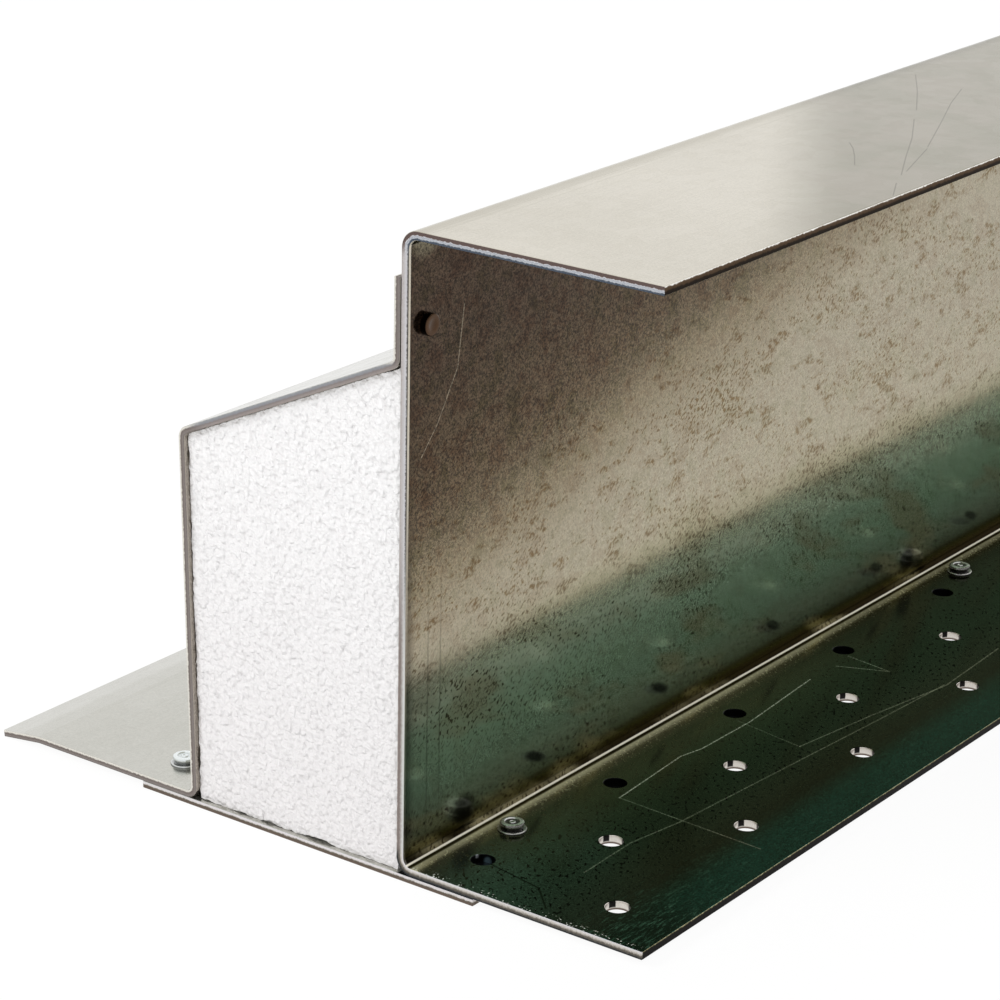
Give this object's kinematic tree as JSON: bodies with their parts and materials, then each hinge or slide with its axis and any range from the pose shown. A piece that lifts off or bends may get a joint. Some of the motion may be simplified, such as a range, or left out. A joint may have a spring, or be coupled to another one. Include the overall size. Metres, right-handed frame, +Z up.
{
  "type": "cavity wall lintel",
  "caption": "Galvanised steel box lintel for a cavity wall: inner channel, outer pressing with toe, perforated soffit flange and foam infill.",
  "frame": {"origin": "middle of the underside of the part's box, at the level of the base plate's underside", "axes": "+Y along the lintel away from the end where the key holes start 20 mm in, +X toward the inner leaf, +Z up"},
  "size_m": [0.272, 1.2, 0.2175],
  "materials": {
    "channel_steel": "hot-dip galvanised, semi-bright",
    "pressing_steel": "hot-dip galvanised, semi-bright",
    "plate_steel": "hot-dip galvanised, semi-bright",
    "polystyrene": "cut expanded polystyrene",
    "rivet_steel": "bright zinc plated"
  },
  "bodies": {
    "root": {"inner_channel": "channel_steel", "outer_pressing": "pressing_steel", "base_plate": "plate_steel", "insulation_block": "polystyrene", "inner_rivets": "rivet_steel", "outer_rivets": "rivet_steel"}
  },
  "joints": []
}
